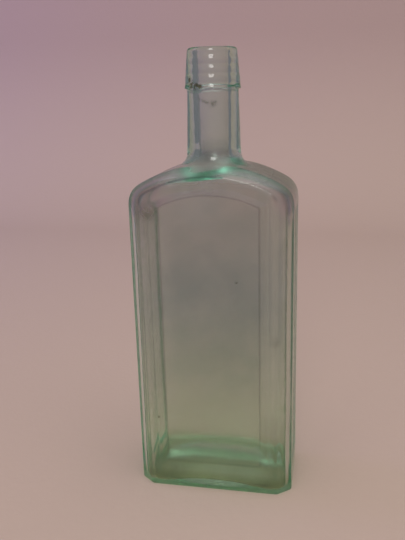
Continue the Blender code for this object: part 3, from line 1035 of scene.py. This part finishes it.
def stain_at(place, reach, amount):
    """One placed stain, with its sizes in millimetres."""
    patch = glass_tree.nodes.new("ShaderNodeGroup")
    patch.node_tree = stain
    patch.inputs["Place"].default_value = Vector(place) * MM
    patch.inputs["Reach"].default_value = reach * MM
    patch.inputs["Amount"].default_value = amount
    glass_tree.links.new(coords, patch.inputs["Vector"])
    return patch.outputs["Value"]


stain_and_shade_patches = [stain_at(*values) for values in NECK_STAINS + LIP_FOLD_STAINS_AND_SHADE + BODY_STAINS]
stained_and_shaded_here = stain_and_shade_patches[0]
for patch in stain_and_shade_patches[1:]:
    stained_and_shaded_here = maths("MAXIMUM", stained_and_shaded_here, patch)
print(len(stain_and_shade_patches), "stain_and_shade_patches")

# %% [markdown]
# ## Residue
# The residue is a brown crust, and under the lip it is also painted shade. Fine noise breaks each patch
# into crumbs, as mud does when it dries. The crust covers what lies under it, so it is mixed in, where a
# film would multiply.

# %% Crumble the stains
RESIDUE_AND_SHADE_BROWN = (0.08, 0.06, 0.02, 1.0)
crumbs = add_mottle(
    glass_tree, coords, Scale=420.0, Detail=5.0, From_Low=0.32, From_High=0.56, Low=0.2,
)
crust_and_shade = maths("MULTIPLY", stained_and_shaded_here, crumbs, clamp=True)
skin_colour = mixed(glass_tree, crust_and_shade, skin_colour, RESIDUE_AND_SHADE_BROWN)
print("residue is", RESIDUE_AND_SHADE_BROWN[:3])

# %% [markdown]
# ## Lines along the edges
# A dark line of painted shade is drawn in the concave foot of the panel's slope, and another along the
# arris over the left shoulder, where that edge turns dark. A mark fades over a whole face, which is too
# wide for a line, so each line starts only where its mark is strong.

# %% Draw the lines
# Painted shade: a dark line drawn in the concave foot of the panel's slope.
PANEL_FOOT_SHADE_TONE = (0.57, 0.56, 0.57, 1.0)
# Painted shade: a dark line drawn along the arris over the left shoulder.
ARRIS_SHADE_TONE = (0.12, 0.10, 0.14, 1.0)
EDGE_LINE_START = 0.55
ARRIS_LINE_START = 0.25
edge_mark = mark("edge_line")
panel_foot_shade = fade(glass_tree, edge_mark, EDGE_LINE_START, 1.0)
arris_shade_line = fade(glass_tree, mark("arris"), ARRIS_LINE_START, 1.0)
skin_colour = mixed(glass_tree, panel_foot_shade, skin_colour, PANEL_FOOT_SHADE_TONE, kind="MULTIPLY")
skin_colour = mixed(glass_tree, arris_shade_line, skin_colour, ARRIS_SHADE_TONE, kind="MULTIPLY")
glass_tree.links.new(skin_colour, shader.inputs["Base Color"])
print("base colour is fed by", shader.inputs["Base Color"].links[0].from_node.type)

# %% [markdown]
# ## How smooth each part is
# The clean outside is nearly smooth, and the bloom on it is satin. The etched inside scatters a little,
# which softens what is seen through two walls: most under the neck's foot, hardly at all in the neck.
# The crust is rough, and so are the worn edge of the panel and the underside.

# %% Roughness
CLEAN_ROUGHNESS = 0.015
BLOOM_ROUGHNESS = 0.24
RESIDUE_ROUGHNESS = 0.45
WORN_ROUGHNESS = 0.25
FILM_ROUGHNESS = (
    (0.0, 0.2),
    (0.15, 0.22),
    (0.705, 0.2),
    (0.74, 0.34),
    (0.765, 0.34),
    (0.80, 0.05),
    (1.0, 0.03),
)
outer_rough = fade(glass_tree, bloom, 0.0, 1.0, CLEAN_ROUGHNESS, BLOOM_ROUGHNESS)
inner_rough = tones_by_height([(at, (value,) * 3) for at, value in FILM_ROUGHNESS])
rough = mixed(glass_tree, film_and_painted_light_share, outer_rough, inner_rough, data="FLOAT")
rough = mixed(glass_tree, crust_and_shade, rough, RESIDUE_ROUGHNESS, data="FLOAT")
worn_edge = fade(glass_tree, edge_mark, -EDGE_LINE_START, -1.0)
worn_here = maths("MAXIMUM", worn_edge, mark("underside"))
rough = mixed(glass_tree, worn_here, rough, WORN_ROUGHNESS, data="FLOAT")
glass_tree.links.new(rough, shader.inputs["Roughness"])
print("roughness from", CLEAN_ROUGHNESS, "to", RESIDUE_ROUGHNESS)

# %% [markdown]
# ## Surface ripples
# The mould's wall was cold iron, which leaves faint hammer-like dimples a few millimetres wide. They are
# too shallow for the mesh, so a Bump node tilts the normals.

# %% Ripples
RIPPLE_DEPTH = 0.06 * MM
ripples = add_mottle(glass_tree, coords, Scale=150.0, Detail=1.5, From_Low=0.2, From_High=0.8)
rippled = glass_tree.nodes.new("ShaderNodeBump")
rippled.inputs["Strength"].default_value = 1.0
rippled.inputs["Distance"].default_value = RIPPLE_DEPTH
glass_tree.links.new(ripples, rippled.inputs["Height"])
glass_tree.links.new(rippled.outputs["Normal"], shader.inputs["Normal"])
print("glass has", len(glass_tree.nodes), "nodes")

# %% [markdown]
# ## Lamplight through the glass
# A path tracer finds lamps by shadow rays, and plain glass stops them, so the table below the bottle
# would go black. For those rays alone, the Light Path node swaps the glass for a tinted Transparent
# shader, and the bottle throws the soft pale shadow that a real one does.

# %% Let lamps shine through
SHADOW_TINT = (0.70, 0.74, 0.70, 1.0)
clear = glass_tree.nodes.new("ShaderNodeBsdfTransparent")
clear.inputs["Color"].default_value = SHADOW_TINT
path = glass_tree.nodes.new("ShaderNodeLightPath")
choose = glass_tree.nodes.new("ShaderNodeMixShader")
glass_tree.links.new(path.outputs["Is Shadow Ray"], choose.inputs["Fac"])
glass_tree.links.new(shader.outputs["BSDF"], choose.inputs[1])
glass_tree.links.new(clear.outputs["BSDF"], choose.inputs[2])
glass_tree.links.new(choose.outputs["Shader"], glass_tree.nodes["Material Output"].inputs["Surface"])
print("shadow rays keep", SHADOW_TINT[:3], "at each side of the glass")

# %% [markdown]
# ## Floor and backdrop
# A pale sheet that runs up behind the bottle in one curve, so that no line shows through the glass. It
# is a grid of one face, with its back edge extruded upwards and the fold between them bevelled round.

# %% Make the sweep
SWEEP_HALF = 0.75
SWEEP_FRONT = -1.2
SWEEP_BACK = 0.9
SWEEP_HEIGHT = 0.62
SWEEP_BEND = 0.3
SWEEP_SEGMENTS = 16
SWEEP_GAP = 0.05 * MM
sweep = bmesh.new()
bmesh.ops.create_grid(sweep, x_segments=1, y_segments=1, size=1.0)
for vertex in sweep.verts:
    vertex.co.x *= SWEEP_HALF
    vertex.co.y = SWEEP_BACK if vertex.co.y > 0 else SWEEP_FRONT
back_edge = [edge for edge in sweep.edges if all(vertex.co.y > 0 for vertex in edge.verts)]
raised = bmesh.ops.extrude_edge_only(sweep, edges=back_edge)["geom"]
raised = [part for part in raised if isinstance(part, bmesh.types.BMVert)]
bmesh.ops.translate(sweep, verts=raised, vec=(0, 0, SWEEP_HEIGHT))
fold = [edge for edge in sweep.edges if edge.is_manifold]
bmesh.ops.bevel(
    sweep, geom=fold, offset=SWEEP_BEND, offset_type="OFFSET", affect="EDGES",
    segments=SWEEP_SEGMENTS, profile=0.5, material=-1,
)
bmesh.ops.translate(sweep, verts=sweep.verts, vec=(0, 0, -SWEEP_GAP))
bmesh.ops.recalc_face_normals(sweep, faces=sweep.faces)
print("sweep has", len(sweep.faces), "faces")

# %% Put the sweep on stage
sweep_mesh = bpy.data.meshes.new("sweep")
sweep.to_mesh(sweep_mesh)
sweep.free()
sweep_mesh.shade_smooth()
sweep_object = bpy.data.objects.new("sweep", sweep_mesh)
bpy.context.scene.collection.objects.link(sweep_object)
print("stage:", sweep_object.name)

# %% [markdown]
# ## Paper
# The sheet is matt and warm, a little darker and redder higher up. Its grain is too fine to model, so
# mottling drives a Bump node.

# %% Paper of the sweep
PAPER_LOW = (0.46, 0.348, 0.292, 1.0)
PAPER_HIGH = (0.420, 0.302, 0.280, 1.0)
PAPER_RISE = 0.45
PAPER_ROUGHNESS = 0.9
GRAIN_DEPTH = 0.05 * MM
paper = bpy.data.materials.new("pale_sweep")
paper.use_nodes = True
paper_tree = paper.node_tree
paper_shader = paper_tree.nodes["Principled BSDF"]
paper_shader.inputs["Roughness"].default_value = PAPER_ROUGHNESS
paper_coords = paper_tree.nodes.new("ShaderNodeTexCoord").outputs["Object"]
paper_apart = paper_tree.nodes.new("ShaderNodeSeparateXYZ")
paper_tree.links.new(paper_coords, paper_apart.inputs["Vector"])
climb = fade(paper_tree, paper_apart.outputs["Z"], 0.0, PAPER_RISE, soft=True)
paper_colour = mixed(paper_tree, climb, PAPER_LOW, PAPER_HIGH)
paper_tree.links.new(paper_colour, paper_shader.inputs["Base Color"])
grain = add_mottle(paper_tree, paper_coords, Scale=260.0, Detail=4.0)
grain_bump = paper_tree.nodes.new("ShaderNodeBump")
grain_bump.inputs["Distance"].default_value = GRAIN_DEPTH
paper_tree.links.new(grain, grain_bump.inputs["Height"])
paper_tree.links.new(grain_bump.outputs["Normal"], paper_shader.inputs["Normal"])
sweep_mesh.materials.append(paper)
print("paper has", len(paper_tree.nodes), "nodes")

# %% [markdown]
# ## The room around
# Glass shows its surroundings, so they matter more than the lamps do. The world is bright in front and
# above, where a bright room would be, and dim behind and at the sides: rays that a thick edge throws
# sideways then find something dark, and the edge reads as a line.

# %% World: a bright room in front of the bottle
ROOM_DIRECTION = Vector((0.12, -0.78, 0.62)).normalized()
ROOM_COLOUR = (0.42, 0.41, 0.41, 1.0)
DIM_COLOUR = (0.20, 0.172, 0.195, 1.0)
ROOM_SOFT_START = -0.1
ROOM_SOFT_END = 0.75
world = bpy.data.worlds.new("studio")
bpy.context.scene.world = world
world.use_nodes = True
sky = world.node_tree
direction = sky.nodes.new("ShaderNodeTexCoord")
facing = sky.nodes.new("ShaderNodeVectorMath")
facing.operation = "DOT_PRODUCT"
facing.inputs[1].default_value = ROOM_DIRECTION
sky.links.new(direction.outputs["Generated"], facing.inputs[0])
softened = fade(sky, facing.outputs["Value"], ROOM_SOFT_START, ROOM_SOFT_END, soft=True)
room = mixed(sky, softened, DIM_COLOUR, ROOM_COLOUR)
sky.links.new(room, sky.nodes["Background"].inputs["Color"])
print("room is brightest towards", [round(part, 2) for part in ROOM_DIRECTION])

# %% [markdown]
# ## Window
# One window, high in front and a little to the right, draws the small highlights on the lip, at the
# neck's foot and along the front arris. The back wall would show it a second time, so it is hidden
# from rays that have come through the glass.

# %% Hang the window
WINDOW_PLACE = Vector((0.09, -1.125, 0.855))
WINDOW_AIM = Vector((0.0, 0.0, 0.12))
WINDOW_SIZE = (0.42, 0.62)
WINDOW_POWER = 5.3
WINDOW_COLOUR = (1.0, 0.98, 0.95)


def area_light(name, place, aim, size, power, colour):
    """Rectangular area light at a place, turned to a point."""
    lamp = bpy.data.lights.new(name, "AREA")
    lamp.shape = "RECTANGLE"
    lamp.size, lamp.size_y = size
    lamp.energy = power
    lamp.color = colour
    placed = bpy.data.objects.new(name, lamp)
    placed.location = place
    placed.rotation_euler = (aim - place).to_track_quat("-Z", "Y").to_euler()
    bpy.context.scene.collection.objects.link(placed)
    print(name, "shines from", round((aim - place).length, 2), "m away with", power, "W")
    return placed


window = area_light("window", WINDOW_PLACE, WINDOW_AIM, WINDOW_SIZE, WINDOW_POWER, WINDOW_COLOUR)
window.visible_transmission = False

# %% [markdown]
# ## Soft box and fill
# A large soft box overhead lights the sheet and the bottle evenly. It is hidden from reflections, since
# it would lay a broad white stripe on every shoulder. A small violet fill from the left colours that
# side of the sheet, and is hidden from reflections and from rays through the glass.

# %% Hang the soft box and the fill
BOX_PLACE = Vector((0.15, -0.05, 1.3))
BOX_AIM = Vector((0.0, 0.4, 0.0))
BOX_SIZE = (1.4, 1.4)
BOX_POWER = 11.5
BOX_COLOUR = (1.0, 0.97, 0.94)
FILL_PLACE = Vector((-1.0, 0.15, 0.5))
FILL_AIM = Vector((-0.5, 0.9, 0.35))
FILL_SIZE = (0.6, 0.6)
FILL_POWER = 3.4
FILL_COLOUR = (0.36, 0.28, 1.0)
soft_box = area_light("soft_box", BOX_PLACE, BOX_AIM, BOX_SIZE, BOX_POWER, BOX_COLOUR)
soft_box.visible_glossy = False
violet_fill = area_light("violet_fill", FILL_PLACE, FILL_AIM, FILL_SIZE, FILL_POWER, FILL_COLOUR)
violet_fill.visible_glossy = False
violet_fill.visible_transmission = False

# %% [markdown]
# ## Bounces
# A ray through an empty bottle crosses four skins, and more at the heel and the lip, where it is thrown
# to and fro inside the glass. Too few bounces turn those places black.

# %% Let light bounce often enough
ALL_BOUNCES = 32
GLASS_BOUNCES = 24
cycles = bpy.context.scene.cycles
cycles.max_bounces = ALL_BOUNCES
cycles.transmission_bounces = GLASS_BOUNCES
cycles.glossy_bounces = GLASS_BOUNCES
print("light may bounce", cycles.max_bounces, "times")

# %% [markdown]
# ## Camera
# The camera stands where the photographer's did: close, above the neck's foot, a little to the right of
# the front, looking down and leaning by a degree and a half. The bottle's edges in the photo gave it.

# %% Camera
CAMERA_PLACE = Vector((58.1, -313.9, 203.4)) * MM
CAMERA_AIM = Vector((-7.4, 0.0, 113.8)) * MM
CAMERA_ROLL = math.radians(-1.58)
CAMERA_LENS = 43.2
SENSOR_WIDTH = 36.0
camera_data = bpy.data.cameras.new("camera")
camera_data.lens = CAMERA_LENS
camera_data.sensor_width = SENSOR_WIDTH
camera = bpy.data.objects.new("camera", camera_data)
camera.location = CAMERA_PLACE
look = (CAMERA_AIM - CAMERA_PLACE).to_track_quat("-Z", "Y")
camera.rotation_euler = (look @ Quaternion((0, 0, 1), CAMERA_ROLL)).to_euler()
bpy.context.scene.collection.objects.link(camera)
bpy.context.scene.camera = camera
bpy.context.scene.view_settings.view_transform = "Standard"
print("camera up", [round(value, 4) for value in camera.rotation_euler.to_matrix() @ Vector((0, 1, 0))])
